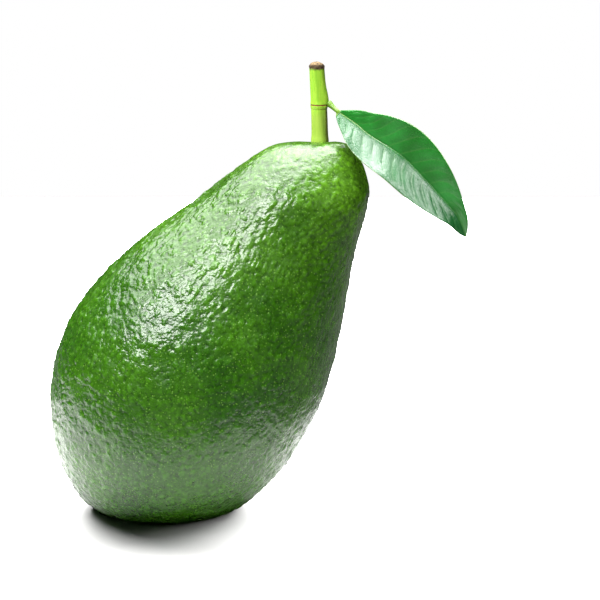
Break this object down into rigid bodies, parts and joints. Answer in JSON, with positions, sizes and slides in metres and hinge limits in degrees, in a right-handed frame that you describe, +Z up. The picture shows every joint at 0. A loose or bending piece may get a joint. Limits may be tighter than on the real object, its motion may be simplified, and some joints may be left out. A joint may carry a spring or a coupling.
{
  "type": "avocado",
  "caption": "Whole green avocado, pear-shaped with pebbled glossy skin, standing on a small flat spot, with its cut stem and a leaf.",
  "frame": {"origin": "middle of the flat resting spot, on the floor", "axes": "+Z up, +X to the right towards the side the neck leans to and the leaf hangs on, -Y towards the viewer"},
  "size_m": [0.1108, 0.0689, 0.1208],
  "materials": {
    "skin": "waxy semi-gloss, pebbled",
    "twig": "smooth green bark, corky cut end",
    "leaf": "satin, ribbed by side veins"
  },
  "bodies": {
    "root": {"fruit": "skin", "stem": "twig", "leaf": "leaf"}
  },
  "joints": []
}
